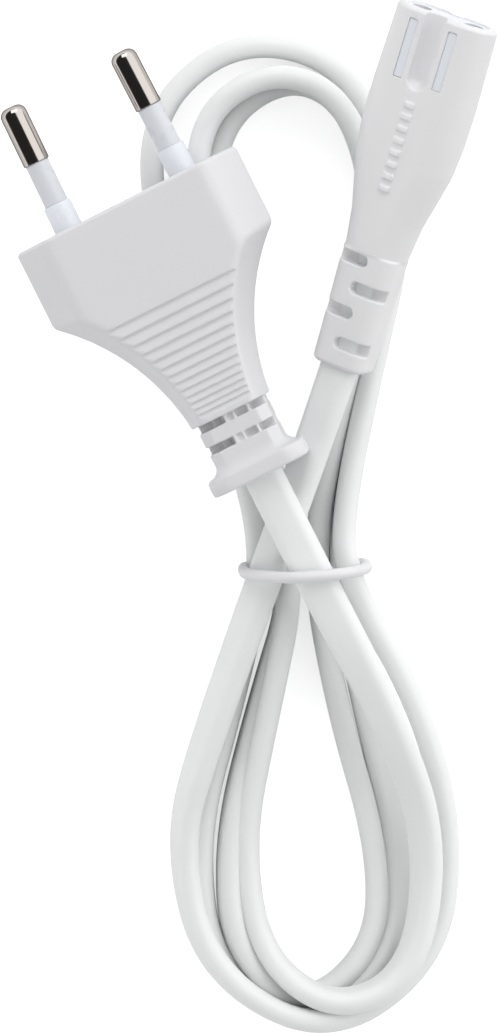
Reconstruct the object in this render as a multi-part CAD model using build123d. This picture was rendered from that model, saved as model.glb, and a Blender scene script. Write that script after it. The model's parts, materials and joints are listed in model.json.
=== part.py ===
from build123d import *
import math
import os

os.makedirs("parts", exist_ok=True)

# All lengths are millimetres. Each moulding has a frame of its own: y points forward out of its
# front face, z up, and the origin is the middle of the front face.

# Flat two-core cable, a flat section with bevelled edges.
cable_w = 5.4
cable_t = 3.4
cable_edge = 1.0

# Strands that lie on the table have their axis at "low", those that rest on them at "high".
low = 2.75
high = 8.4

# Route of the cable axis, from inside the plug to inside the connector.
route = [
    (-6, 24.5, 18.7),
    (2.9, 6.7, 19.2),
    (20.5, -28.5, 17.0),
    (27, -46.5, 8.0),
    (22.5, -65.5, high),
    (12.5, -72.5, high),
    (1.5, -64.5, high),
    (-1, -47, high),
    (3, -28.5, high),
    (8, -6.5, 10.4),
    (1.5, 14.5, 8.6),
    (-6.5, 39.5, high),
    (-8.5, 59.5, high),
    (3, 68, high),
    (14, 62.5, high),
    (17.5, 42.5, high),
    (12.5, 17.5, 9.4),
    (9, -5, 4.1),
    (13, -27.5, low),
    (19, -48, low),
    (19, -63.5, low),
    (8, -75, low),
    (-3.5, -64.5, low),
    (-4, -46.5, low),
    (1, -27.5, low),
    (7, -7.5, 4.6),
    (2, 14, low),
    (-4.5, 37.5, low),
    (-5, 58.5, low),
    (6, 66.5, low),
    (15, 60, low),
    (18.5, 38, low),
    (15.5, 15.5, low),
    (13.5, -5, 4.6),
    (18, -29, low),
    (23, -49.5, low),
    (22.5, -67.5, low),
    (8.5, -79, low),
    (-6.5, -67.5, low),
    (-8, -46.5, low),
    (-2.5, -26.5, low),
    (3, -5.5, 4.6),
    (-2, 13.5, low),
    (-11, 34.5, low),
    (-16.5, 59, low),
    (-2.5, 72, low),
    (14.5, 67.5, low),
    (24, 47, low),
    (19, 21.5, 9.4),
    (14.5, 4, 9.4),
    (13, -7, 10.4),
    (24, -25.5, 7.6),
    (30, -46, 3.0),
    (29.5, -66.5, 8.2),
    (11, -78.5, high),
    (-7, -66.5, high),
    (-11.5, -48.5, high),
    (-6.5, -31, 9.8),
    (13, 23, 16.6),
    (20.7, 49, 21.1),
]

# A bend takes this share of the shorter of its two runs. The cable leaves both mouldings flat
# and turns on edge along the twist lengths, just before the first and after the last bend.
bend_share = 0.45
bend_clear = 0.5
lead_twist_len = 14.0
tail_twist_len = 13.0
twist_steps = 5

# Elastic tie around the waist of the hank, as corners of its axis in the upright plane at tie_y.
tie_d = 1.4
tie_sides = 8
tie_y = -6.5
tie_corner_r = 2.2
tie_corners = [
    (-1.2, tie_d / 2),
    (17.0, tie_d / 2),
    (17.2, 13.0),
    (13.0, 20.9),
    (6.0, 20.9),
    (-1.6, 14.8),
]

# Plug moulding: a flat six-sided block that narrows in two hollow flanks to a slotted neck.
plug_w = 35.8
plug_t = 13.7
plug_facet = 4.7
plug_len = 34.2
plug_shoulder = 12.2
plug_rear_w = 12.7
plug_rear_t = 9.8
plug_slope_start = 15.4
plug_ridge_r = 3.0
plug_rim = 0.4
flank_r = 33.0
flank_draft = 22.0
flank_edge_r = 1.6
neck_w = 10.9
neck_t = 8.4
neck_edge = 1.6
neck_len = 8.0
collar_w = 15.4
collar_t = 10.4
collar_r = 3.6
collar_len = 2.3
collar_rim = 0.7
plug_cable_depth = 27.0
plug_roll = -4.0

# Grip ribs of the plug, closer and closer towards the neck.
rib_count = 13
rib_first = 15.9
rib_pitch_first = 1.85
rib_pitch_last = 0.85
rib_depth = 0.55
rib_ramp = 0.8
rib_margin = 0.3

# Slots across the neck, with thin webs left standing in them.
slot_len = 1.15
slot_first = 0.5
slot_pitch = 3.4
slot_count = 2
web_w = 0.4
web_places = (-0.8, 0.6, 2.9)

# Pins: a thin shank through carrier and sleeve and a full tip. They lean towards each other.
pin_d = 4.0
shank_d = 3.0
pin_len = 19.5
pin_base_spacing = 18.6
pin_tip_spacing = 18.0
pin_tail = 8.0
pin_nose_len = 2.0
pin_nose = ((2.0, 0.0), (1.6, 1.2))
sleeve_d = 3.6
sleeve_start = 4.0
sleeve_end = 10.6
boss_d = 4.25
carrier_w = 26.0
carrier_t = 6.4
carrier_front = 2.5
carrier_rear = 9.5

# Connector moulding: a flat body with round edges that swells a little behind the front and tapers
# to a slotted strain relief. The narrowing pairs places along the taper, as shares of its length,
# with the share of the front's extra width that is left there.
conn_w = 15.6
conn_t = 8.4
conn_bulge_w = 16.3
conn_rear_w = 9.6
conn_rear_t = 7.7
conn_len = 36.3
conn_rim = 0.5
conn_bulge = 12.5
conn_taper = 18.0
conn_narrowing = ((0.0, 1.08), (0.25, 0.92), (0.45, 0.62), (0.7, 0.24), (1.0, 0.0))
conn_roll = -25.0
conn_cable_depth = 27.9
groove_r = 1.7
groove_len = 11.4
groove_lift = 0.25
groove_wall = 0.5
window_w = 1.25
window_len = 8.6
window_front = 1.7
window_x = 3.2
window_recess = 0.15
bar_count = 8
bar_first = 13.6
bar_pitch = 1.8
bar_w = 1.6
bar_len = 0.8
bar_h = 0.35
relief_len = 17.5
relief_w = 9.2
relief_t = 7.4
relief_draft = 1.5
relief_r = 2.4
relief_rim = 0.5
relief_slot = 1.8
relief_left = (1.2, 9.2)
relief_right = (5.3, 13.8)
relief_left_end = 0.6
relief_right_end = -1.0

# Socket contacts and their carrier.
insert_wall = 0.3
insert_t = 5.4
insert_recess = 0.3
insert_len = 15.0
contact_spacing = 8.6
contact_d = 3.5
contact_bore = 2.5
contact_front = 1.2
contact_len = 10.8
contact_bore_len = 9.8
entry_d = 2.9


def minus(p, q):
    return Vector(*p) - Vector(*q)


def bend_radius(p, q, r):
    into = minus(q, p)
    out = minus(r, q)
    half_turn = math.radians(into.get_angle(out)) / 2
    return bend_share * min(into.length, out.length) / math.tan(half_turn)


def heading(start, end, roll=0.0):
    """Plane square to the run from start to end, its x level and then turned by roll."""
    along = minus(end, start).normalized()
    level = Vector(along.Y, -along.X, 0).normalized()
    return Plane(origin=start, x_dir=level.rotate(Axis((0, 0, 0), along), roll), z_dir=along)


def moulding_frame(end, before, depth, roll=0.0):
    """Frame of the moulding whose cable ends at the given depth behind the front face."""
    across = heading(before, end, roll)
    return Plane(
        origin=Vector(*end) + across.z_dir * depth,
        x_dir=across.x_dir,
        z_dir=across.x_dir.cross(across.z_dir),
    )


def before_corner(start, corner, distance):
    return Vector(*corner) - minus(corner, start).normalized() * distance


def rod(diameter, front, rear):
    """Round bar along y between two places behind the front face."""
    bar = Cylinder(diameter / 2, rear - front, align=(Align.CENTER, Align.CENTER, Align.MIN))
    return Pos(0, -front, 0) * Rot(90, 0, 0) * bar


def across_y(sketch, behind):
    """Sketch drawn in x and z, placed at a distance behind the front face."""
    return Plane.XZ.offset(behind) * sketch


def both_sides(shape):
    return [shape, mirror(shape, Plane.XY)]


# Cable

def cable_section():
    return chamfer(Rectangle(cable_w, cable_t).vertices(), cable_edge)


def twist(start, end, first_roll, last_roll):
    sections = []
    for step in range(twist_steps + 1):
        part = step / twist_steps
        at = start + (end - start) * part
        roll = first_roll + (last_roll - first_roll) * part
        sections.append(heading(at, at + (end - start), roll) * cable_section())
    return loft(sections)


def arriving_roll(swept, at, onward):
    """Roll at which a swept stretch ends, read from the long side of its end face."""
    side = swept.faces().sort_by_distance(at)[0].edges().sort_by(Edge.length)[-1].tangent_at(0)
    flat = heading(at, onward)
    roll = math.degrees(math.atan2(side.dot(flat.y_dir), side.dot(flat.x_dir)))
    return roll % 180 - 180


radii = [bend_radius(p, q, r) for p, q, r in zip(route, route[1:], route[2:])]
print("bend radii", [round(r, 1) for r in radii])

lead_clear = bend_share * minus(route[3], route[2]).length + bend_clear
tail_clear = bend_share * minus(route[-4], route[-3]).length + bend_clear
lead_end = before_corner(route[1], route[2], lead_clear)
lead_twist = before_corner(route[1], route[2], lead_clear + lead_twist_len)
tail_start = before_corner(route[-2], route[-3], tail_clear)
tail_twist = before_corner(route[-2], route[-3], tail_clear + tail_twist_len)

lead_path = FilletPolyline(route[0], route[1], lead_twist, radius=radii[0])
hank_path = FilletPolyline(lead_end, *route[2:-2], tail_start, radius=radii[1:-1])
tail_path = FilletPolyline(tail_twist, route[-2], route[-1], radius=radii[-1])
lead = sweep(heading(route[0], route[1], -plug_roll) * cable_section(), path=lead_path)
hank = sweep(heading(lead_end, route[2], 90) * cable_section(), path=hank_path)
tail = sweep(heading(tail_twist, route[-2], conn_roll) * cable_section(), path=tail_path)
tail_roll = arriving_roll(hank, tail_start, tail_twist)
lead_turn = twist(lead_twist, lead_end, -plug_roll, 90)
tail_turn = twist(tail_start, tail_twist, tail_roll, conn_roll)
cable = lead + lead_turn + hank + tail_turn + tail

cable_length = lead_path.length + lead_twist_len + hank_path.length + tail_twist_len + tail_path.length
print("cable length", round(cable_length, 1), "arriving roll", round(tail_roll, 1))
print("cable volume", round(cable.volume), "section times length", round(cable_section().area * cable_length))

# Elastic tie

tie_plane = Plane.XZ.offset(-tie_y)
tie_axis = FilletPolyline(*tie_corners, radius=tie_corner_r, close=True)
tie_start = tie_axis @ 0
tie_section = Plane(origin=tie_start, z_dir=tie_axis % 0) * RegularPolygon(tie_d / 2, tie_sides)
cable_tie = tie_plane * sweep(tie_section, path=tie_axis)

# Plug, in its own frame

plug_frame = moulding_frame(route[0], route[1], plug_cable_depth, plug_roll)
plug_cable = plug_frame.to_local_coords(cable)
neck_end = plug_len + neck_len
pin_lean = math.degrees(math.atan((pin_base_spacing - pin_tip_spacing) / 2 / pin_len))


def pin_frame(side):
    return Pos(side * pin_base_spacing / 2, 0, 0) * Rot(0, 0, side * pin_lean)


def pin():
    outline = [(0, sleeve_end), (pin_d / 2, sleeve_end)]
    outline += [(radius, pin_len - pin_nose_len + rise) for radius, rise in pin_nose]
    tip = revolve(make_face(Polyline(*outline, (0, pin_len), close=True)), Axis.Y)
    return tip + rod(shank_d, -sleeve_end, pin_tail)


def flank_centre():
    """Centre of the hollow flank arc, which runs from the shoulder to the rear of the block."""
    shoulder = Vector(plug_w / 2, -plug_shoulder)
    rear = Vector(plug_rear_w / 2, -plug_len)
    chord = rear - shoulder
    reach = math.sqrt(flank_r**2 - (chord.length / 2) ** 2)
    return (shoulder + rear) / 2 + Vector(-chord.Y, chord.X).normalized() * reach


def flank_cutters():
    """Cones that hollow both flanks, wider away from the mid-plane."""
    centre = flank_centre()
    top_r = flank_r + plug_t * math.tan(math.radians(flank_draft))
    cone = Cone(flank_r, top_r, plug_t, align=(Align.CENTER, Align.CENTER, Align.MIN))
    right = both_sides(Pos(centre.X, centre.Y, 0) * cone)
    return right + [mirror(cutter, Plane.YZ) for cutter in right]


def flank_x(behind, height):
    """Half width of the block between its flanks at a place and height."""
    centre = flank_centre()
    radius = flank_r + height * math.tan(math.radians(flank_draft))
    return centre.X - math.sqrt(radius**2 - (behind + centre.Y) ** 2)


plug_slope = (plug_t - plug_rear_t) / 2 / (plug_len - plug_slope_start)


def plug_top(behind):
    return plug_t / 2 - max(0, behind - plug_slope_start) * plug_slope


def rib_cutters():
    """Saw-tooth grooves: a steep wall in front and a ramp that rises to the rear."""
    cutters = []
    behind = rib_first
    for rib in range(rib_count):
        pitch = rib_pitch_first + (rib_pitch_last - rib_pitch_first) * rib / (rib_count - 1)
        end = behind + pitch * rib_ramp
        tooth = make_face(
            Polyline(
                (-behind, plug_top(behind) - rib_depth),
                (-end, plug_top(end)),
                (-end, plug_t),
                (-behind, plug_t),
                close=True,
            )
        )
        half_len = flank_x(behind, plug_top(behind)) - rib_margin
        cutters += both_sides(extrude(Plane.YZ * tooth, half_len, both=True))
        behind += pitch
    return cutters


def neck_slots():
    cutters = []
    depth = collar_t - cable_t
    for slot_number in range(slot_count):
        place = plug_len + slot_first + slot_number * slot_pitch
        slot = Box(collar_w, slot_len, depth, align=(Align.CENTER, Align.CENTER, Align.MIN))
        for web in web_places:
            slot -= Pos(web, 0, 0) * Box(web_w, slot_len, 2 * depth)
        cutters += both_sides(Pos(0, -place, cable_t / 2) * slot)
    return cutters


def plug_block():
    half_w = plug_w / 2
    half_top = half_w - plug_facet
    half_t = plug_t / 2
    section = make_face(
        Polyline(
            (half_w, 0),
            (half_top, half_t),
            (-half_top, half_t),
            (-half_w, 0),
            (-half_top, -half_t),
            (half_top, -half_t),
            close=True,
        )
    )
    section = fillet(section.vertices().filter_by(lambda v: abs(v.Y) > half_t / 2), plug_ridge_r)
    block = extrude(across_y(section, 0), plug_len)
    block = chamfer(block.faces().sort_by(Axis.Y)[-1].edges(), plug_rim)
    wedge = make_face(
        Polyline(
            (-plug_slope_start, half_t),
            (-2 * plug_len, plug_top(2 * plug_len)),
            (-2 * plug_len, plug_t),
            (-plug_slope_start, plug_t),
            close=True,
        )
    )
    block = block - both_sides(extrude(Plane.YZ * wedge, plug_w, both=True)) - flank_cutters()
    hollows = block.faces().filter_by(GeomType.CONE).edges()
    ridges = hollows.filter_by_position(Axis.Y, plug_rim - plug_len, -plug_shoulder)
    return fillet(ridges.filter_by(lambda edge: abs(edge.center().Z) > half_t / 2), flank_edge_r)


def plug_tail():
    neck = extrude(across_y(chamfer(Rectangle(neck_w, neck_t).vertices(), neck_edge), plug_len), neck_len)
    collar = extrude(across_y(RectangleRounded(collar_w, collar_t, collar_r), neck_end), collar_len)
    rims = collar.faces().filter_by(Axis.Y).edges()
    return neck + chamfer(rims, collar_rim)


def pin_sleeve():
    return rod(sleeve_d, -sleeve_end, -sleeve_start) - rod(shank_d, -pin_len, 0)


carrier_len = carrier_rear - carrier_front
pin_holder = Pos(0, -carrier_front - carrier_len / 2, 0) * Box(carrier_w, carrier_len, carrier_t)
pins = {side: pin_frame(side) * pin() for side in (-1, 1)}
sleeves = {side: pin_frame(side) * pin_sleeve() for side in (-1, 1)}
for side in (-1, 1):
    pin_holder += pin_frame(side) * rod(boss_d, -sleeve_start, carrier_len)
    pin_holder -= pins[side]

plug_body = plug_block() + plug_tail()
plug_body -= rib_cutters()
plug_body -= neck_slots()
plug_body -= [pin_holder, *pins.values(), plug_cable]

# Connector, in its own frame

conn_frame = moulding_frame(route[-1], route[-2], conn_cable_depth, conn_roll)
conn_cable = conn_frame.to_local_coords(cable)
insert_w = contact_spacing + contact_d + 2 * insert_wall


def contact(side):
    shell = rod(contact_d, contact_front, contact_front + contact_len)
    shell -= rod(contact_bore, contact_front, contact_front + contact_bore_len)
    return Pos(side * contact_spacing / 2, 0, 0) * shell


def contact_seat(side):
    seat = rod(contact_d, contact_front, contact_front + contact_len) + rod(entry_d, 0, contact_front)
    return Pos(side * contact_spacing / 2, 0, 0) * seat


def windows(recess):
    height = conn_t / 2 - recess
    pad = Box(window_w, window_len, height, align=(Align.CENTER, Align.MAX, Align.MIN))
    pads = [Pos(side * window_x, -window_front, 0) * pad for side in (-1, 1)]
    return pads + [mirror(p, Plane.XY) for p in pads]


def conn_shell():
    """Body that swells a little behind the front and then narrows to the strain relief."""
    stations = [(0, conn_w, conn_t), (conn_bulge, conn_bulge_w, conn_t)]
    for part, left in conn_narrowing:
        behind = conn_taper + part * (conn_len - conn_taper)
        width = conn_rear_w + left * (conn_w - conn_rear_w)
        stations.append((behind, width, conn_t + part * (conn_rear_t - conn_t)))
    sections = [across_y(SlotOverall(width, height), behind) for behind, width, height in stations]
    body = loft(sections, ruled=True)
    return chamfer(body.faces().sort_by(Axis.Y)[-1].edges(), conn_rim)


def relief():
    front = across_y(RectangleRounded(relief_w, relief_t, relief_r), conn_len)
    sleeve = extrude(front, relief_len, taper=relief_draft)
    return chamfer(sleeve.faces().sort_by(Axis.Y)[0].edges(), relief_rim)


def relief_slots():
    """Round-ended slots, open to the left and right in turn, the same again underneath."""
    cutters = []
    depth = conn_t - cable_t / 2
    places = [(place, relief_left_end, -1) for place in relief_left]
    places += [(place, relief_right_end, 1) for place in relief_right]
    for place, end, side in places:
        run = SlotOverall(2 * conn_w, relief_slot)
        slot = extrude(Pos(end + side * conn_w, -conn_len - place) * run, depth)
        slot = Pos(0, 0, cable_t / 2) * slot
        cutters += [slot, Rot(0, 180, 0) * slot]
    return cutters


def centre_grooves():
    """Round-bottomed grooves from the front along the middle of both flat sides."""
    scoop = rod(2 * groove_r, -groove_r, groove_len - groove_r)
    scoop += Pos(0, groove_r - groove_len, 0) * Sphere(groove_r)
    return both_sides(Pos(0, 0, conn_t / 2 + groove_lift) * scoop)


def insert_section():
    """Section of the insert, waisted where the grooves pass so that the moulding keeps its wall."""
    waist = Circle(groove_r + groove_wall)
    height = conn_t / 2 + groove_lift
    return SlotOverall(insert_w, insert_t) - [Pos(0, side * height) * waist for side in (-1, 1)]


def bars():
    bar = Box(bar_w, bar_len, 2 * bar_h)
    raised = [Pos(0, -(bar_first + i * bar_pitch), conn_t / 2) * bar for i in range(bar_count)]
    return raised + [Rot(0, 180, 0) * b for b in raised]


insert = extrude(across_y(insert_section(), insert_recess), insert_len - insert_recess)
insert += windows(window_recess)
insert -= [contact_seat(-1), contact_seat(1)]
contacts = {side: contact(side) for side in (-1, 1)}

connector_body = conn_shell() + relief() + bars()
connector_body -= centre_grooves() + relief_slots() + windows(0)
connector_body -= extrude(across_y(insert_section(), 0), insert_len)
connector_body -= conn_cable

nodes = {
    "plug_body": plug_frame * plug_body,
    "pin_carrier": plug_frame * pin_holder,
    "pin_left": plug_frame * pins[-1],
    "pin_right": plug_frame * pins[1],
    "pin_sleeve_left": plug_frame * sleeves[-1],
    "pin_sleeve_right": plug_frame * sleeves[1],
    "cable": cable,
    "cable_tie": cable_tie,
    "connector_body": conn_frame * connector_body,
    "contact_carrier": conn_frame * insert,
    "contact_left": conn_frame * contacts[-1],
    "contact_right": conn_frame * contacts[1],
}
for name, node in nodes.items():
    export_step(node, f"parts/{name}.step")
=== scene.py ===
import json
import math

import bmesh
import bpy
from mathutils import Matrix, Vector


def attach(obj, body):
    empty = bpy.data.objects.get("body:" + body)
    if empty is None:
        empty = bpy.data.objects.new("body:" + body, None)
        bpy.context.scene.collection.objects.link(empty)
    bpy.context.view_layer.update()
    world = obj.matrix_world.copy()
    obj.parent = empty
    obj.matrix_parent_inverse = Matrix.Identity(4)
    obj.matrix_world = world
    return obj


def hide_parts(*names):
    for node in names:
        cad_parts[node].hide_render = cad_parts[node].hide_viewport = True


bl_info = {
    "name": "Power Cord Builder",
    "version": (1, 0, 0),
    "blender": (4, 5, 0),
    "location": "View3D > Sidebar > Power Cord",
    "description": "Dresses a tied flat power cord with its plug, connector, cable and tie",
    "category": "Object",
}

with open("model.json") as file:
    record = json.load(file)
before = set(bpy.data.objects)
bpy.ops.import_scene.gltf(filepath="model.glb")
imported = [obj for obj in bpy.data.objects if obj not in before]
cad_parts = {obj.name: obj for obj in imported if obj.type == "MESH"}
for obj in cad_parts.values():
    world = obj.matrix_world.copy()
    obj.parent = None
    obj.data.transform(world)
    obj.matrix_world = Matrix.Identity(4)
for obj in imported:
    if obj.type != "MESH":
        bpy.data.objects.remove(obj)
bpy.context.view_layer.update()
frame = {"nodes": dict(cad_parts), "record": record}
MOUNTS = {mount["name"]: mount for mount in frame["record"]["mounts"]}
MM = 0.001

# Stage, in metres: the side that the bright wall is on, the place and edge length of each square
# lamp, and how far the floor reaches to each side.
WALL_SIDE = (0.89, 0.45, 0)
KEY_PLACE = (-0.15, 0.8, 0.6)
KEY_SIZE = 0.7
FILL_PLACE = (-0.7, -0.35, 0.4)
FILL_SIZE = 0.8
TOP_PLACE = (0, 0, 1.1)
TOP_SIZE = 2.4
FLOOR_REACH = 3
FLOOR_ROUGHNESS = 0.9

# Light of the studio's wall and horizon: the levels it fades between, and the start and end of the
# fade, as the share of a direction that points to the wall or upwards.
WALL_FADE = (0.02, 1.0, 0.34, 0.44)
HORIZON_FADE = (0.9, 0.02, 0.08, 0.26)

# Clouds in the finishes: scale and detail of the ones that tint and the ones that vary the gloss,
# and the values between which most of a cloud lies.
PLASTIC_TINT_CLOUD = (120, 3)
PLASTIC_GLOSS_CLOUD = (420, 2)
METAL_TINT_CLOUD = (300, 4)
METAL_GLOSS_CLOUD = (900, 3)
CLOUD_LOW = 0.3
CLOUD_HIGH = 0.7

# How dark the tint gets, as a share of the colour, and how far the roughness strays: by a fixed
# amount on plastic, by shares on metal.
PLASTIC_TINT = 0.965
METAL_TINT = 0.93
PLASTIC_STRAY = 0.05
METAL_STRAY = (0.7, 1.3)

# Grain of the plastics: detail and strength of all, then size and depth of each.
GRAIN_DETAIL = 4
GRAIN_STRENGTH = 0.35
PLUG_GRAIN = (0.35 * MM, 0.02 * MM)
CONNECTOR_GRAIN = (0.3 * MM, 0.03 * MM)
HARD_GRAIN = (0.15 * MM, 0.004 * MM)
CARRIER_GRAIN = (0.5 * MM, 0.01 * MM)
SHEATH_GRAIN = (0.6 * MM, 0.01 * MM)
TIE_GRAIN = (0.3 * MM, 0.01 * MM)

# Roughness of the finishes that have no setting of their own.
PLATING_ROUGHNESS = 0.12
CONTACT_ROUGHNESS = 0.2
HARD_ROUGHNESS = 0.3
CARRIER_ROUGHNESS = 0.35
TIE_ROUGHNESS = 0.5

# Mesh work: edges sharper than these angles stay sharp, and vertices closer than the distance are
# one. Then the strength of a smoothing pass, the steps of a rounding and of a fine rim, the profile
# of both, which is circular, and the sides of a rod.
SHARP_ANGLE = math.radians(40)
MOULDING_SHARP_ANGLE = math.radians(55)
MERGE_DISTANCE = 1e-6
SOFTEN_FACTOR = 0.5
ROUND_STEPS = 8
RIM_STEPS = 3
ROUND_PROFILE = 0.5
ROD_SIDES = 64

# Curves: order, steps between two points, and how finely the section is rounded.
CURVE_ORDER = 3
CURVE_STEPS = 12
CABLE_ROUNDING = 6
TIE_ROUNDING = 5

# Pins: depth of their roots behind the plug's face, thickness of the shank as a share of the
# sleeve's, and the rims of tip, sleeve and boss.
PIN_ROOT = -2 * MM
SHANK_SHARE = 0.8
TIP_REAR_RIM = 0.12 * MM
SLEEVE_REAR_RIM = 0.1 * MM
SLEEVE_FRONT_RIM = 0.15 * MM
BOSS_RIM = 0.2 * MM

# Dark colour that the plating takes at a glancing angle: painted shade along the rims of pins and
# contacts, standing in for dark reflections there.
PLATING_PAINTED_RIM_SHADE = (0.12, 0.10, 0.09, 1)

# Glow that brings the lit floor up to white, for the camera and in reflections.
FLOOR_GLOW = {"Is Camera Ray": 0.62, "Is Glossy Ray": 0.1, "Is Transmission Ray": 0.1}

# Depth of the cable's end behind each moulding's front face, and the moulding's roll about the cable.
PLUG_SEAT = (27.0 * MM, math.radians(-4))
CONNECTOR_SEAT = (27.9 * MM, math.radians(-25))

# Neck of the plug: half height, the middles of its two slots behind the front face, half a slot's
# length, and the stretches across a slot that are filled, each with its depth under the neck's top.
NECK_TOP = 4.2 * MM
NECK_SLOTS = (34.7 * MM, 38.1 * MM)
NECK_SLOT_HALF = 0.6 * MM
NECK_FILLED = ((-0.75 * MM, 0.5 * MM, 0.45 * MM), (0.4 * MM, 2.85 * MM, 1.0 * MM))

# Stretch across a slot that is cut deeper, from the height of its floor to well above the neck.
NECK_CUT = (-5.7 * MM, -3.0 * MM)
NECK_CUT_FLOOR = -0.6 * MM
NECK_CUT_TOP = 2 * NECK_TOP

# Collar at the plug's rear: front and rear face, half width and height, corner radius, and the
# hollow flare by which the neck widens into it, as reach along the neck and outwards.
COLLAR_FRONT = 42.1 * MM
COLLAR_REAR = 44.6 * MM
COLLAR_HALF = (7.7 * MM, 5.2 * MM)
COLLAR_CORNER = 3.8 * MM
COLLAR_RIM = 0.4 * MM
NECK_HALF = (5.45 * MM, 4.2 * MM)
FLARE_LEN = 2.0 * MM
FLARE_OUT = (1.9 * MM, 0.8 * MM)
FLARE_STEPS = 6

# A face of the collar counts as its front or rear when its normal lies this much along the neck.
END_FACING = 0.9

# Windows of the connector: middle from the centre line, half width, front and rear, the fine gap
# left around the insert that shows in them, and the heights that the gap runs between.
WINDOW_X = 3.2 * MM
WINDOW_HALF = 0.625 * MM
WINDOW_ENDS = (1.7 * MM, 10.3 * MM)
WINDOW_GAP = 0.07 * MM
WINDOW_HEIGHTS = (3.3 * MM, 6 * MM)

# Groove along the middle of the connector's flat sides: radius, height of its axis, rear end and
# the rounding there.
GROOVE_RADIUS = 1.64 * MM
GROOVE_AXIS = 4.15 * MM
GROOVE_REAR = 11.3 * MM
GROOVE_ROUND = 0.98 * GROOVE_RADIUS

# Route of the cable axis in metres, from inside the plug to inside the connector, each point with
# the roll of the flat cable there: 0 stands on edge, 90 lies flat.
CABLE_ROUTE = [
    ((-0.006, 0.0245, 0.0187), -86),
    ((0.0029, 0.0067, 0.0192), -86),
    ((0.0111, -0.0097, 0.0185), -86),
    ((0.0210, -0.0285, 0.0165), -44),
    ((0.027, -0.0465, 0.0088), -40),
    ((0.0246, -0.0663, 0.0090), -20),
    ((0.0128, -0.0722, 0.0098), -5),
    ((0.0015, -0.0645, 0.0058), 0),
    ((-0.001, -0.047, 0.0040), 0),
    ((0.0026, -0.0285, 0.0062), 0),
    ((0.007, -0.0065, 0.0104), 0),
    ((0.0015, 0.0145, 0.0086), 0),
    ((-0.0065, 0.0395, 0.0074), 0),
    ((-0.0085, 0.0595, 0.0078), 0),
    ((0.003, 0.068, 0.0086), 0),
    ((0.015, 0.0628, 0.0086), 0),
    ((0.0192, 0.0425, 0.0086), 0),
    ((0.0130, 0.0175, 0.0094), 0),
    ((0.009, -0.005, 0.0043), 0),
    ((0.013, -0.0275, 0.0030), 0),
    ((0.019, -0.048, 0.0030), 0),
    ((0.019, -0.0635, 0.0030), 0),
    ((0.008, -0.0732, 0.0030), 0),
    ((-0.0026, -0.064, 0.0052), 16),
    ((-0.0034, -0.0465, 0.0040), 16),
    ((0.0012, -0.0275, 0.0034), 8),
    ((0.007, -0.0075, 0.0046), 0),
    ((0.002, 0.014, 0.0030), 0),
    ((-0.0045, 0.0375, 0.0030), 0),
    ((-0.0058, 0.0585, 0.0030), 0),
    ((0.006, 0.0672, 0.0030), 0),
    ((0.0163, 0.0605, 0.0030), 0),
    ((0.0196, 0.038, 0.0030), 0),
    ((0.0149, 0.0155, 0.0030), 0),
    ((0.0128, -0.005, 0.0046), 10),
    ((0.0185, -0.029, 0.0022), 70),
    ((0.0236, -0.0495, 0.0018), 90),
    ((0.0222, -0.0660, 0.0024), 60),
    ((0.0085, -0.076, 0.0030), 0),
    ((-0.0058, -0.0665, 0.0030), 0),
    ((-0.008, -0.0465, 0.0030), 0),
    ((-0.0025, -0.0265, 0.0030), 0),
    ((0.0024, -0.0055, 0.0046), 0),
    ((-0.0024, 0.0135, 0.0030), 0),
    ((-0.011, 0.0345, 0.0030), 0),
    ((-0.0165, 0.059, 0.0030), 0),
    ((-0.0025, 0.0726, 0.0030), 0),
    ((0.0156, 0.068, 0.0030), 0),
    ((0.0234, 0.0465, 0.0030), 0),
    ((0.0175, 0.0215, 0.0094), 0),
    ((0.014, 0.004, 0.0094), 0),
    ((0.0138, -0.0065, 0.0104), 0),
    ((0.025, -0.026, 0.0076), 0),
    ((0.0303, -0.0455, 0.0031), 0),
    ((0.0282, -0.065, 0.0036), 0),
    ((0.0115, -0.0764, 0.0086), 5),
    ((-0.0062, -0.067, 0.0064), 15),
    ((-0.0109, -0.048, 0.0052), 20),
    ((-0.0065, -0.031, 0.0098), 40),
    ((0.013, 0.023, 0.0166), 60),
    ((0.0207, 0.049, 0.0211), 65),
]

# Corners of the tie around the waist of the hank, in metres.
TIE_LOOP = [
    (-0.0008, -0.0064, 0.0009),
    (0.0080, -0.0062, 0.0009),
    (0.0170, -0.0059, 0.0009),
    (0.0172, -0.0057, 0.0070),
    (0.0172, -0.0055, 0.0140),
    (0.0145, -0.0055, 0.0206),
    (0.0095, -0.0059, 0.0219),
    (0.0050, -0.0062, 0.0213),
    (-0.0006, -0.0062, 0.0160),
    (-0.0010, -0.0063, 0.0080),
]


# Finishes

def mixed_colour(tree, factor, low, high):
    """Colour between two others."""
    mix = tree.nodes.new("ShaderNodeMix")
    mix.data_type = "RGBA"
    mix.inputs["A"].default_value = (*low, 1)
    mix.inputs["B"].default_value = (*high, 1)
    tree.links.new(factor, mix.inputs["Factor"])
    return mix.outputs["Result"]


def noise(tree, scale, detail):
    """Cloudy values that stay with the object."""
    place = tree.nodes.new("ShaderNodeTexCoord")
    cloud = tree.nodes.new("ShaderNodeTexNoise")
    cloud.inputs["Scale"].default_value = scale
    cloud.inputs["Detail"].default_value = detail
    tree.links.new(place.outputs["Object"], cloud.inputs["Vector"])
    return cloud.outputs["Fac"]


def ranged(tree, value, low, high, start=CLOUD_LOW, end=CLOUD_HIGH):
    """Value that goes from low to high while another goes from start to end."""
    span = tree.nodes.new("ShaderNodeMapRange")
    span.inputs["From Min"].default_value = start
    span.inputs["From Max"].default_value = end
    span.inputs["To Min"].default_value = low
    span.inputs["To Max"].default_value = high
    tree.links.new(value, span.inputs["Value"])
    return span.outputs["Result"]


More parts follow.
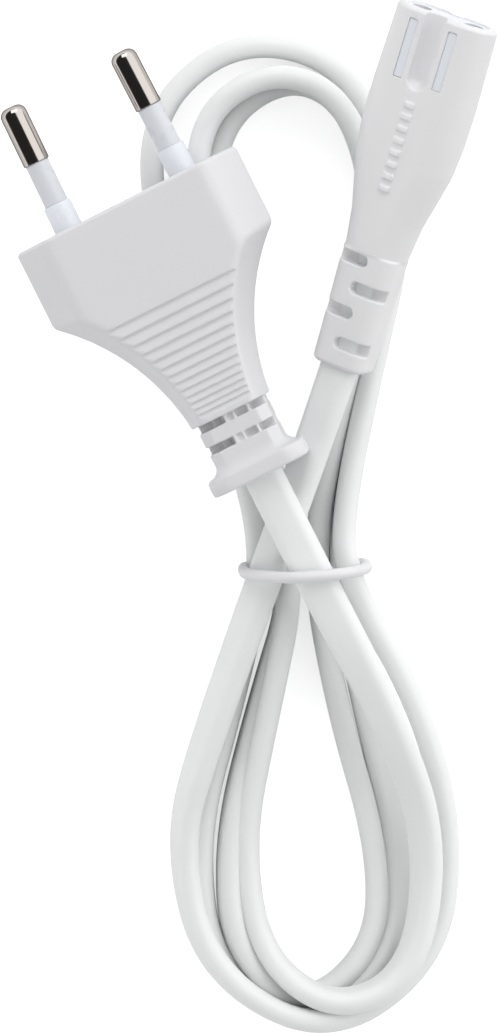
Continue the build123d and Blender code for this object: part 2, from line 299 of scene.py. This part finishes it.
def calculated(tree, operation, first, second):
    """Result of a calculation with two values, each a number or the output of a node."""
    node = tree.nodes.new("ShaderNodeMath")
    node.operation = operation
    for socket, value in zip(node.inputs, (first, second)):
        if isinstance(value, (int, float)):
            socket.default_value = value
        else:
            tree.links.new(value, socket)
    return node.outputs[0]


def moulded_plastic(name, colour, roughness, grain):
    """Moulded plastic: a faint cloudy tint, uneven gloss and a fine grain."""
    finish = bpy.data.materials.new(name)
    finish.use_nodes = True
    tree = finish.node_tree
    shader = tree.nodes["Principled BSDF"]
    cloud = noise(tree, *PLASTIC_TINT_CLOUD)
    darker = [c * PLASTIC_TINT for c in colour]
    tree.links.new(mixed_colour(tree, cloud, darker, colour), shader.inputs["Base Color"])
    patches = noise(tree, *PLASTIC_GLOSS_CLOUD)
    uneven = ranged(tree, patches, roughness - PLASTIC_STRAY, roughness + PLASTIC_STRAY)
    tree.links.new(uneven, shader.inputs["Roughness"])
    grain_size, grain_depth = grain
    bump = tree.nodes.new("ShaderNodeBump")
    bump.inputs["Strength"].default_value = GRAIN_STRENGTH
    bump.inputs["Distance"].default_value = grain_depth
    tree.links.new(noise(tree, 1 / grain_size, GRAIN_DETAIL), bump.inputs["Height"])
    tree.links.new(bump.outputs["Normal"], shader.inputs["Normal"])
    return finish


def plated_metal(name, colour, roughness):
    """Polished plating with a faint cloudy tint, uneven gloss and painted shade along its rims at a
    glancing angle.
    """
    finish = bpy.data.materials.new(name)
    finish.use_nodes = True
    tree = finish.node_tree
    shader = tree.nodes["Principled BSDF"]
    shader.inputs["Metallic"].default_value = 1.0
    # Painted shade: a dark edge colour darkens the plating's reflections at glancing angles, along its
    # rims.
    shader.inputs["Specular Tint"].default_value = PLATING_PAINTED_RIM_SHADE
    cloud = noise(tree, *METAL_TINT_CLOUD)
    darker = [c * METAL_TINT for c in colour]
    tree.links.new(mixed_colour(tree, cloud, darker, colour), shader.inputs["Base Color"])
    smoothest, roughest = [roughness * share for share in METAL_STRAY]
    uneven = ranged(tree, noise(tree, *METAL_GLOSS_CLOUD), smoothest, roughest)
    tree.links.new(uneven, shader.inputs["Roughness"])
    return finish


def dress(piece, finish):
    """Give a piece one finish."""
    piece.data.materials.clear()
    piece.data.materials.append(finish)


# Modelling helpers

def add_piece(name, bm, place=Matrix()):
    """New object from a bmesh, placed in its mesh and with its object at the origin."""
    bmesh.ops.transform(bm, matrix=place, verts=bm.verts)
    bmesh.ops.recalc_face_normals(bm, faces=bm.faces)
    mesh = bpy.data.meshes.new(name)
    bm.to_mesh(mesh)
    bm.free()
    mesh.shade_smooth()
    mesh.set_sharp_from_angle(angle=SHARP_ANGLE)
    piece = bpy.data.objects.new(name, mesh)
    bpy.context.scene.collection.objects.link(piece)
    return piece


def rounded(bm, edges, size, steps):
    """Round edges of a bmesh."""
    bmesh.ops.bevel(
        bm, geom=edges, offset=size, offset_type="OFFSET", segments=steps,
        profile=ROUND_PROFILE, affect="EDGES", clamp_overlap=True, material=-1,
    )


def turned_rod(bm, radius, rear, front, rear_round, front_round):
    """Round bar along y with rounded rims."""
    ends = bmesh.ops.create_cone(
        bm, cap_ends=True, segments=ROD_SIDES, radius1=radius, radius2=radius, depth=front - rear
    )["verts"]
    middle = (front + rear) / 2
    lengthwise = Matrix.Translation((0, middle, 0)) @ Matrix.Rotation(math.radians(-90), 4, "X")
    bmesh.ops.transform(bm, matrix=lengthwise, verts=ends)
    caps = [f for f in {f for v in ends for f in v.link_faces} if len(f.verts) > 4]
    for cap in caps:
        size = front_round if cap.calc_center_median().y > middle else rear_round
        if size:
            rounded(bm, list(cap.edges), size, ROUND_STEPS)


def merged(bm, other):
    """Add another bmesh to this one."""
    mesh = bpy.data.meshes.new("merged")
    other.to_mesh(mesh)
    other.free()
    bm.from_mesh(mesh)
    bpy.data.meshes.remove(mesh)


def block(bm, low, high):
    """Box between two corners."""
    low, high = Vector(low), Vector(high)
    fit = Matrix.Translation((low + high) / 2) @ Matrix.Diagonal((*(high - low), 1))
    verts = bmesh.ops.create_cube(bm, size=1)["verts"]
    bmesh.ops.transform(bm, matrix=fit, verts=verts)


def block_pair(bm, low, high):
    """The same box above and below the middle of a moulding."""
    block(bm, low, high)
    block(bm, (low[0], low[1], -high[2]), (high[0], high[1], -low[2]))


def moulding_place(end, before, seat):
    """Frame of a moulding: y out of its front face, z up, the origin in the middle of that face."""
    depth, roll = seat
    along = (Vector(end) - Vector(before)).normalized()
    level = Vector((along.y, -along.x, 0)).normalized()
    across = Matrix.Rotation(roll, 3, along) @ level
    rotation = Matrix((across, along, across.cross(along))).transposed().to_4x4()
    return Matrix.Translation(Vector(end) + along * depth) @ rotation


def cutter_piece(piece, bm, place):
    """Cut a bmesh out of a piece by a modifier, and return the object that does it."""
    cutter = add_piece("cutter", bm, place)
    cut = piece.modifiers.new("Cut", "BOOLEAN")
    cut.operation = "DIFFERENCE"
    cut.solver = "EXACT"
    cut.object = cutter
    return cutter


def made_mesh(piece):
    """Mesh of a piece as its modifiers leave it."""
    view = bpy.context.evaluated_depsgraph_get()
    return bpy.data.meshes.new_from_object(piece.evaluated_get(view))


def take_mesh(piece, mesh):
    """Give a piece another mesh in place of its own and of its modifiers."""
    old = piece.data
    piece.modifiers.clear()
    piece.data = mesh
    bpy.data.meshes.remove(old)


def moulded_copy(node, name, settings, place, added=None, cut_before=None, cut_after=None):
    """Copy of a CAD moulding with softened edges, and with what is added to it and cut from it."""
    bm = bmesh.new()
    bm.from_mesh(frame["nodes"][node].data)
    bmesh.ops.remove_doubles(bm, verts=bm.verts, dist=MERGE_DISTANCE)
    base = add_piece(name, bm)
    cutters = [cutter_piece(base, cut_before, place)] if cut_before else []
    take_mesh(base, made_mesh(base))
    if added:
        bm = bmesh.new()
        bm.from_mesh(base.data)
        bmesh.ops.transform(added, matrix=place, verts=added.verts)
        merged(bm, added)
        bm.to_mesh(base.data)
        bm.free()
    skin = base.modifiers.new("Skin", "REMESH")
    skin.mode = "VOXEL"
    skin.voxel_size = settings.voxel
    skin.use_smooth_shade = True
    soften = base.modifiers.new("Soften", "SMOOTH")
    soften.factor = SOFTEN_FACTOR
    soften.iterations = settings.softness
    thin = base.modifiers.new("Thin", "DECIMATE")
    thin.ratio = settings.thinning
    if cut_after:
        cutters.append(cutter_piece(base, cut_after, place))
    mesh = made_mesh(base)
    mesh.shade_smooth()
    mesh.set_sharp_from_angle(angle=MOULDING_SHARP_ANGLE)
    take_mesh(base, mesh)
    for cutter in cutters:
        bpy.data.meshes.remove(cutter.data)
    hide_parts(node)
    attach(base, "root")
    return base


def collar():
    """Collar with rounded corners, and the hollow flare that joins it to the neck."""
    bm = bmesh.new()
    wide, high = COLLAR_HALF
    block(bm, (-wide, -COLLAR_REAR, -high), (wide, -COLLAR_FRONT, high))
    corners = [e for e in bm.edges if abs(e.verts[0].co.y - e.verts[1].co.y) > COLLAR_RIM]
    rounded(bm, corners, COLLAR_CORNER, ROUND_STEPS)
    rims = [e for f in bm.faces if abs(f.normal.y) > END_FACING for e in f.edges]
    rounded(bm, rims, COLLAR_RIM, RIM_STEPS)
    front = max(bm.faces, key=lambda f: f.calc_center_median().y)
    for step in range(FLARE_STEPS + 1):
        turn = math.radians(90) * step / FLARE_STEPS
        place = -COLLAR_FRONT + FLARE_LEN * (1 - math.cos(turn))
        wanted = [half + out * (1 - math.sin(turn)) for half, out in zip(NECK_HALF, FLARE_OUT)]
        drawn_out = bmesh.ops.extrude_face_region(bm, geom=[front])["geom"]
        if front.is_valid:
            bmesh.ops.delete(bm, geom=[front], context="FACES_ONLY")
        front = next(g for g in drawn_out if isinstance(g, bmesh.types.BMFace))
        reach = [max(abs(v.co[axis]) for v in front.verts) for axis in (0, 2)]
        for v in front.verts:
            v.co = (v.co.x * wanted[0] / reach[0], place, v.co.z * wanted[1] / reach[1])
    return bm


def mount_place(mount_name, along):
    """Frame of a pin: its axis as y, with the origin a given length behind the mount point."""
    mount = MOUNTS[mount_name]
    axis = Vector(mount["axis"]).normalized()
    across = axis.cross(Vector((0, 0, 1))).normalized()
    rotation = Matrix((across, axis, across.cross(axis))).transposed().to_4x4()
    return Matrix.Translation(Vector(mount["pos_m"]) - axis * along) @ rotation


def smooth_curve(name, places, radius, rounding):
    """Object of one smooth spline drawn by a list of places, with a round section."""
    curve = bpy.data.curves.new(name, "CURVE")
    curve.dimensions = "3D"
    curve.bevel_depth = radius
    curve.bevel_resolution = rounding
    curve.resolution_u = CURVE_STEPS
    spline = curve.splines.new("NURBS")
    spline.points.add(len(places) - 1)
    for point, place in zip(spline.points, places):
        point.co = (*place, 1)
    spline.order_u = CURVE_ORDER
    piece = bpy.data.objects.new(name, curve)
    bpy.context.scene.collection.objects.link(piece)
    return piece


# Settings

class CordCableSettings(bpy.types.PropertyGroup):
    width: bpy.props.FloatProperty(
        name="Width", description="Width of the flat cable",
        default=5.9 * MM, unit="LENGTH", precision=4,
    )
    thickness: bpy.props.FloatProperty(
        name="Thickness", description="Thickness of the flat cable",
        default=3.45 * MM, unit="LENGTH", precision=4,
    )
    length: bpy.props.FloatProperty(
        name="Length", description="Length of the whole cable",
        default=1.2, unit="LENGTH",
    )
    colour: bpy.props.FloatVectorProperty(
        name="Colour", description="Colour of the sheath",
        default=(0.84, 0.85, 0.85), subtype="COLOR", size=3, min=0, max=1,
    )
    roughness: bpy.props.FloatProperty(
        name="Roughness", description="Roughness of the sheath",
        default=0.42, subtype="FACTOR", min=0, max=1,
    )


class CordMouldingSettings(bpy.types.PropertyGroup):
    colour: bpy.props.FloatVectorProperty(
        name="Plug Colour", description="Colour of the plug",
        default=(0.71, 0.71, 0.727), subtype="COLOR", size=3, min=0, max=1,
    )
    connector_colour: bpy.props.FloatVectorProperty(
        name="Connector Colour", description="Colour of the connector",
        default=(0.79, 0.79, 0.80), subtype="COLOR", size=3, min=0, max=1,
    )
    roughness: bpy.props.FloatProperty(
        name="Roughness", description="Roughness of plug and connector",
        default=0.48, subtype="FACTOR", min=0, max=1,
    )
    insert_colour: bpy.props.FloatVectorProperty(
        name="Insert Colour", description="Colour of the hard inserts",
        default=(0.77, 0.80, 0.85), subtype="COLOR", size=3, min=0, max=1,
    )
    voxel: bpy.props.FloatProperty(
        name="Skin Size", description="Size of the skin's faces",
        default=0.15 * MM, unit="LENGTH", precision=5,
    )
    softness: bpy.props.IntProperty(
        name="Softness", description="Smoothing passes along the edges",
        default=4, min=0, max=40,
    )
    thinning: bpy.props.FloatProperty(
        name="Thinning", description="Share of the skin's faces that is kept",
        default=0.33, subtype="FACTOR", min=0, max=1,
    )


class CordPinSettings(bpy.types.PropertyGroup):
    radius: bpy.props.FloatProperty(
        name="Tip Radius", description="Radius of the bare tip",
        default=MOUNTS["pin_left"]["dims"]["r_mm"] * MM, unit="LENGTH", precision=4,
    )
    length: bpy.props.FloatProperty(
        name="Length", description="Reach of the pin from the plug's face",
        default=19.5 * MM, unit="LENGTH", precision=4,
    )
    sleeve_radius: bpy.props.FloatProperty(
        name="Sleeve Radius", description="Radius of the insulating sleeve",
        default=1.8 * MM, unit="LENGTH", precision=4,
    )
    sleeve_front: bpy.props.FloatProperty(
        name="Sleeve Front", description="Where the sleeve meets the tip",
        default=10.6 * MM, unit="LENGTH", precision=4,
    )
    boss_radius: bpy.props.FloatProperty(
        name="Boss Radius", description="Radius of the boss at the plug's face",
        default=2.125 * MM, unit="LENGTH", precision=4,
    )
    boss_front: bpy.props.FloatProperty(
        name="Boss Front", description="Reach of the boss from the plug's face",
        default=4.0 * MM, unit="LENGTH", precision=4,
    )
    nose: bpy.props.FloatProperty(
        name="Nose", description="Rounding of the tip's end",
        default=1.3 * MM, unit="LENGTH", precision=4,
    )
    sleeve_colour: bpy.props.FloatVectorProperty(
        name="Sleeve Colour", description="Colour of the insulating sleeves",
        default=(0.66, 0.68, 0.715), subtype="COLOR", size=3, min=0, max=1,
    )
    colour: bpy.props.FloatVectorProperty(
        name="Colour", description="Colour of the plating",
        default=(0.56, 0.52, 0.49), subtype="COLOR", size=3, min=0, max=1,
    )


class CordTieSettings(bpy.types.PropertyGroup):
    radius: bpy.props.FloatProperty(
        name="Radius", description="Radius of the elastic",
        default=0.86 * MM, unit="LENGTH", precision=5,
    )
    colour: bpy.props.FloatVectorProperty(
        name="Colour", description="Colour of the elastic",
        default=(0.76, 0.76, 0.78), subtype="COLOR", size=3, min=0, max=1,
    )


class CordStageSettings(bpy.types.PropertyGroup):
    distance: bpy.props.FloatProperty(
        name="Camera Distance", description="Distance of the camera from its target",
        default=0.8, unit="LENGTH",
    )
    lean: bpy.props.FloatProperty(
        name="Camera Lean", description="Lean of the camera from straight above",
        default=math.radians(5), subtype="ANGLE",
    )
    image_height: bpy.props.FloatProperty(
        name="View Height", description="Height of the view at the target",
        default=152.9 * MM, unit="LENGTH",
    )
    target: bpy.props.FloatVectorProperty(
        name="Target", description="Point in the middle of the view",
        default=(0, 1.5 * MM, 8 * MM), subtype="XYZ", size=3,
    )
    wall_level: bpy.props.FloatProperty(
        name="Wall Level", description="Brightness of the studio's bright wall",
        default=1.45, min=0,
    )
    key_power: bpy.props.FloatProperty(
        name="Key Power", description="Power of the key lamp",
        default=3.2, unit="POWER", min=0,
    )
    fill_power: bpy.props.FloatProperty(
        name="Fill Power", description="Power of the fill lamp",
        default=2.8, unit="POWER", min=0,
    )
    top_power: bpy.props.FloatProperty(
        name="Top Power", description="Power of the wide lamp overhead",
        default=8, unit="POWER", min=0,
    )
    floor_colour: bpy.props.FloatVectorProperty(
        name="Floor Colour", description="Colour of the floor",
        default=(0.9, 0.9, 0.9), subtype="COLOR", size=3, min=0, max=1,
    )


SETTINGS = {
    "cord_cable": CordCableSettings,
    "cord_moulding": CordMouldingSettings,
    "cord_pin": CordPinSettings,
    "cord_tie": CordTieSettings,
    "cord_stage": CordStageSettings,
}


# Operators

class CORD_OT_plug(bpy.types.Operator):
    """Soften the plug's moulding and give it its finish"""
    bl_idname = "cord.plug"
    bl_label = "Dress Plug"

    def execute(self, context):
        settings = context.scene.cord_moulding
        place = moulding_place(CABLE_ROUTE[0][0], CABLE_ROUTE[1][0], PLUG_SEAT)
        added = collar()
        cut = bmesh.new()
        for middle in NECK_SLOTS:
            rear, front = -middle - NECK_SLOT_HALF, -middle + NECK_SLOT_HALF
            for left, right, depth in NECK_FILLED:
                block_pair(added, (left, rear, 0), (right, front, NECK_TOP - depth))
            block(cut, (NECK_CUT[0], rear, NECK_CUT_FLOOR), (NECK_CUT[1], front, NECK_CUT_TOP))
        piece = moulded_copy("plug_body", "plug_moulding", settings, place, added, cut)
        dress(piece, moulded_plastic("plug PVC", settings.colour, settings.roughness, PLUG_GRAIN))
        return {"FINISHED"}


class CORD_OT_pins(bpy.types.Operator):
    """Turn the plated pins, their sleeves and the bosses they stand on"""
    bl_idname = "cord.pins"
    bl_label = "Turn Pins"

    def execute(self, context):
        pin = context.scene.cord_pin
        plating = plated_metal("nickel plating", pin.colour, PLATING_ROUGHNESS)
        insert_colour = context.scene.cord_moulding.insert_colour
        insert = moulded_plastic("hard insert", insert_colour, HARD_ROUGHNESS, HARD_GRAIN)
        sleeving = moulded_plastic("sleeve plastic", pin.sleeve_colour, HARD_ROUGHNESS, HARD_GRAIN)
        mount_length = MOUNTS["pin_left"]["dims"]["length_mm"] * MM
        bosses = bmesh.new()
        for side in ("left", "right"):
            place = mount_place(f"pin_{side}", pin.sleeve_front + mount_length / 2)
            bm = bmesh.new()
            turned_rod(bm, pin.radius, pin.sleeve_front, pin.length, TIP_REAR_RIM, pin.nose)
            turned_rod(bm, pin.sleeve_radius * SHANK_SHARE, PIN_ROOT, pin.sleeve_front, 0, 0)
            tip = add_piece(f"plated_pin_{side}", bm, place)
            dress(tip, plating)
            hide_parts(f"pin_{side}")
            bm = bmesh.new()
            turned_rod(
                bm, pin.sleeve_radius, pin.boss_front, pin.sleeve_front,
                SLEEVE_REAR_RIM, SLEEVE_FRONT_RIM,
            )
            sleeve = add_piece(f"insulating_sleeve_{side}", bm, place)
            dress(sleeve, sleeving)
            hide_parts(f"pin_sleeve_{side}")
            bm = bmesh.new()
            turned_rod(bm, pin.boss_radius, PIN_ROOT, pin.boss_front, 0, BOSS_RIM)
            bmesh.ops.transform(bm, matrix=place, verts=bm.verts)
            merged(bosses, bm)
            for piece in (tip, sleeve):
                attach(piece, "root")
        carrier = add_piece("pin_bosses", bosses)
        dress(carrier, insert)
        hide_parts("pin_carrier")
        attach(carrier, "root")
        return {"FINISHED"}


class CORD_OT_connector(bpy.types.Operator):
    """Soften the connector's moulding and finish the insert and its contacts"""
    bl_idname = "cord.connector"
    bl_label = "Dress Connector"

    def execute(self, context):
        settings = context.scene.cord_moulding
        place = moulding_place(CABLE_ROUTE[-1][0], CABLE_ROUTE[-2][0], CONNECTOR_SEAT)
        gaps = bmesh.new()
        reach = WINDOW_HALF + WINDOW_GAP
        for middle in (-WINDOW_X, WINDOW_X):
            block_pair(
                gaps,
                (middle - reach, -WINDOW_ENDS[1] - WINDOW_GAP, WINDOW_HEIGHTS[0]),
                (middle + reach, -WINDOW_ENDS[0] + WINDOW_GAP, WINDOW_HEIGHTS[1]),
            )
        scoops = bmesh.new()
        for height in (-GROOVE_AXIS, GROOVE_AXIS):
            scoop = bmesh.new()
            turned_rod(scoop, GROOVE_RADIUS, -GROOVE_REAR, GROOVE_RADIUS, GROOVE_ROUND, 0)
            bmesh.ops.translate(scoop, vec=(0, 0, height), verts=scoop.verts)
            merged(scoops, scoop)
        piece = moulded_copy("connector_body", "connector_moulding", settings, place, None, scoops, gaps)
        soft = moulded_plastic(
            "connector PVC", settings.connector_colour, settings.roughness, CONNECTOR_GRAIN
        )
        dress(piece, soft)
        hard = moulded_plastic(
            "connector insert", settings.insert_colour, CARRIER_ROUGHNESS, CARRIER_GRAIN
        )
        dress(frame["nodes"]["contact_carrier"], hard)
        contact = plated_metal("contact plating", context.scene.cord_pin.colour, CONTACT_ROUGHNESS)
        for node in ("contact_left", "contact_right"):
            dress(frame["nodes"][node], contact)
        return {"FINISHED"}


class CORD_OT_cable(bpy.types.Operator):
    bl_idname = "cord.cable"
    bl_label = "Lay Cable"

    def execute(self, context):
        settings = context.scene.cord_cable
        places = [place for place, roll in CABLE_ROUTE]
        cable = smooth_curve("flat_cable", places, settings.thickness / 2, CABLE_ROUNDING)
        curve = cable.data
        curve.twist_mode = "Z_UP"
        curve.extrude = (settings.width - settings.thickness) / 2
        curve.use_fill_caps = True
        spline = curve.splines[0]
        for point, (place, roll) in zip(spline.points, CABLE_ROUTE):
            point.tilt = math.radians(roll)
        spline.use_endpoint_u = True
        dress(cable, moulded_plastic("cable sheath", settings.colour, settings.roughness, SHEATH_GRAIN))
        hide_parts("cable")
        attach(cable, "root")
        return {"FINISHED"}


class CORD_OT_tie(bpy.types.Operator):
    """Wrap the elastic tie around the waist of the hank"""
    bl_idname = "cord.tie"
    bl_label = "Wrap Tie"

    def execute(self, context):
        settings = context.scene.cord_tie
        tie = smooth_curve("elastic_tie", TIE_LOOP, settings.radius, TIE_ROUNDING)
        tie.data.splines[0].use_cyclic_u = True
        dress(tie, moulded_plastic("tie elastic", settings.colour, TIE_ROUGHNESS, TIE_GRAIN))
        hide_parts("cable_tie")
        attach(tie, "root")
        return {"FINISHED"}


class CORD_OT_stage(bpy.types.Operator):
    """Set the floor, the studio light and the camera"""
    bl_idname = "cord.stage"
    bl_label = "Set Stage"

    def execute(self, context):
        settings = context.scene.cord_stage
        self.floor(settings)
        self.world(context, settings)
        self.lamp(context, "key_softbox", KEY_PLACE, KEY_SIZE, settings.key_power)
        fill = self.lamp(context, "fill_softbox", FILL_PLACE, FILL_SIZE, settings.fill_power)
        top = self.lamp(context, "top_softbox", TOP_PLACE, TOP_SIZE, settings.top_power)
        for lamp in (fill, top):
            lamp.visible_glossy = False
        self.camera(context, settings)
        context.scene.view_settings.view_transform = "Standard"
        return {"FINISHED"}

    def floor(self, settings):
        """Pale floor that glows up to white where the camera sees it."""
        bm = bmesh.new()
        bmesh.ops.create_grid(bm, x_segments=1, y_segments=1, size=FLOOR_REACH)
        floor = add_piece("floor", bm)
        finish = bpy.data.materials.new("pale floor")
        finish.use_nodes = True
        tree = finish.node_tree
        shader = tree.nodes["Principled BSDF"]
        shader.inputs["Base Color"].default_value = (*settings.floor_colour, 1)
        shader.inputs["Roughness"].default_value = FLOOR_ROUGHNESS
        shader.inputs["Emission Color"].default_value = (1, 1, 1, 1)
        path = tree.nodes.new("ShaderNodeLightPath")
        glow = 0
        for ray, level in FLOOR_GLOW.items():
            share = calculated(tree, "MULTIPLY", path.outputs[ray], level)
            glow = calculated(tree, "MAXIMUM", glow, share)
        tree.links.new(glow, shader.inputs["Emission Strength"])
        dress(floor, finish)

    def world(self, context, settings):
        """Dark studio with a pale horizon and one wide bright wall to the right of the object."""
        world = bpy.data.worlds.new("studio")
        context.scene.world = world
        world.use_nodes = True
        tree = world.node_tree
        place = tree.nodes.new("ShaderNodeTexCoord")
        split = tree.nodes.new("ShaderNodeSeparateXYZ")
        tree.links.new(place.outputs["Generated"], split.inputs["Vector"])
        side = tree.nodes.new("ShaderNodeVectorMath")
        side.operation = "DOT_PRODUCT"
        side.inputs[1].default_value = WALL_SIDE
        tree.links.new(place.outputs["Generated"], side.inputs[0])
        wall = ranged(tree, side.outputs["Value"], *WALL_FADE)
        horizon = ranged(tree, split.outputs["Z"], *HORIZON_FADE)
        brighter = calculated(tree, "MAXIMUM", wall, horizon)
        level = calculated(tree, "MULTIPLY", brighter, settings.wall_level)
        tree.links.new(level, tree.nodes["Background"].inputs["Strength"])
        tree.nodes["Background"].inputs["Color"].default_value = (1, 1, 1, 1)

    def lamp(self, context, name, place, size, power):
        """Square lamp that points to the middle of the floor."""
        light = bpy.data.lights.new(name, "AREA")
        light.shape = "SQUARE"
        light.size = size
        light.energy = power
        lamp = bpy.data.objects.new(name, light)
        lamp.location = place
        lamp.rotation_euler = (-Vector(place)).to_track_quat("-Z", "Y").to_euler()
        context.scene.collection.objects.link(lamp)
        return lamp

    def camera(self, context, settings):
        """Camera that leans a little from straight above its target."""
        data = bpy.data.cameras.new("camera")
        data.sensor_fit = "VERTICAL"
        data.lens = data.sensor_height * settings.distance / settings.image_height
        camera = bpy.data.objects.new("camera", data)
        back = Vector((0, math.sin(settings.lean), math.cos(settings.lean)))
        camera.location = Vector(settings.target) + back * settings.distance
        camera.rotation_euler = (-settings.lean, 0, 0)
        context.scene.collection.objects.link(camera)
        context.scene.camera = camera


OPERATORS = (CORD_OT_plug, CORD_OT_pins, CORD_OT_connector, CORD_OT_tie, CORD_OT_cable, CORD_OT_stage)


class CORD_PT_panel(bpy.types.Panel):
    """Sizes, colours and steps of the power cord"""
    bl_idname = "CORD_PT_panel"
    bl_label = "Power Cord"
    bl_space_type = "VIEW_3D"
    bl_region_type = "UI"
    bl_category = "Power Cord"

    def draw(self, context):
        for name, group in SETTINGS.items():
            box = self.layout.box()
            for prop in group.__annotations__:
                box.prop(getattr(context.scene, name), prop)
        for operator in OPERATORS:
            self.layout.operator(operator.bl_idname)


def register():
    for group in SETTINGS.values():
        bpy.utils.register_class(group)
    for name, group in SETTINGS.items():
        setattr(bpy.types.Scene, name, bpy.props.PointerProperty(type=group))
    for cls in (*OPERATORS, CORD_PT_panel):
        bpy.utils.register_class(cls)


def unregister():
    for cls in reversed((*OPERATORS, CORD_PT_panel)):
        bpy.utils.unregister_class(cls)
    for name, group in SETTINGS.items():
        delattr(bpy.types.Scene, name)
        bpy.utils.unregister_class(group)


def main():
    register()
    bpy.ops.cord.plug()
    bpy.ops.cord.pins()
    bpy.ops.cord.connector()
    bpy.ops.cord.tie()
    bpy.ops.cord.cable()
    bpy.ops.cord.stage()


if __name__ == "__main__":
    main()
